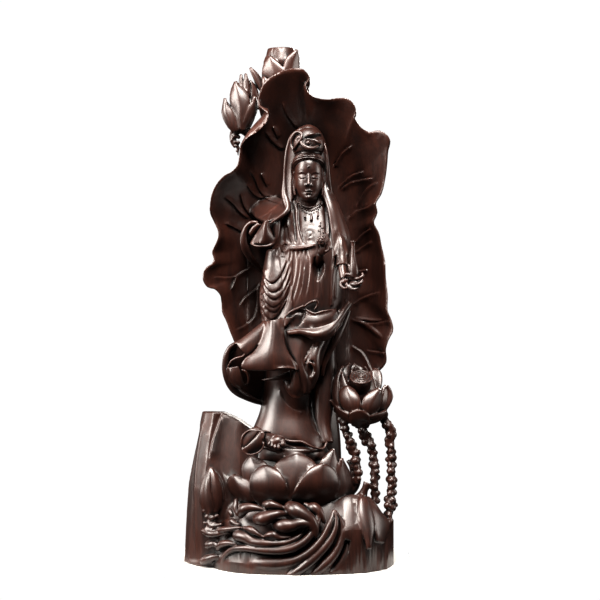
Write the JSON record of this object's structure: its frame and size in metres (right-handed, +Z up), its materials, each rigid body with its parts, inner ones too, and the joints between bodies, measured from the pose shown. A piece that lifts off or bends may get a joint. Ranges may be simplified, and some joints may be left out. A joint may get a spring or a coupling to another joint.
{
  "type": "guanyin figure",
  "caption": "Robed standing figure on a lotus throne before a cupped lotus leaf, with buds, an open flower, waves and rock, carved as one block of dark wood.",
  "frame": {"origin": "middle of the underside of the rock, on the surface that the carving stands on", "axes": "+Z up, the figure looks along -Y, +X towards its left hand and the open flower"},
  "size_m": [0.2441, 0.1757, 0.6008],
  "materials": {
    "ebony": "oiled and waxed, satin, darker in the recesses"
  },
  "bodies": {
    "root": {"guanyin_carving": "ebony"}
  },
  "joints": []
}
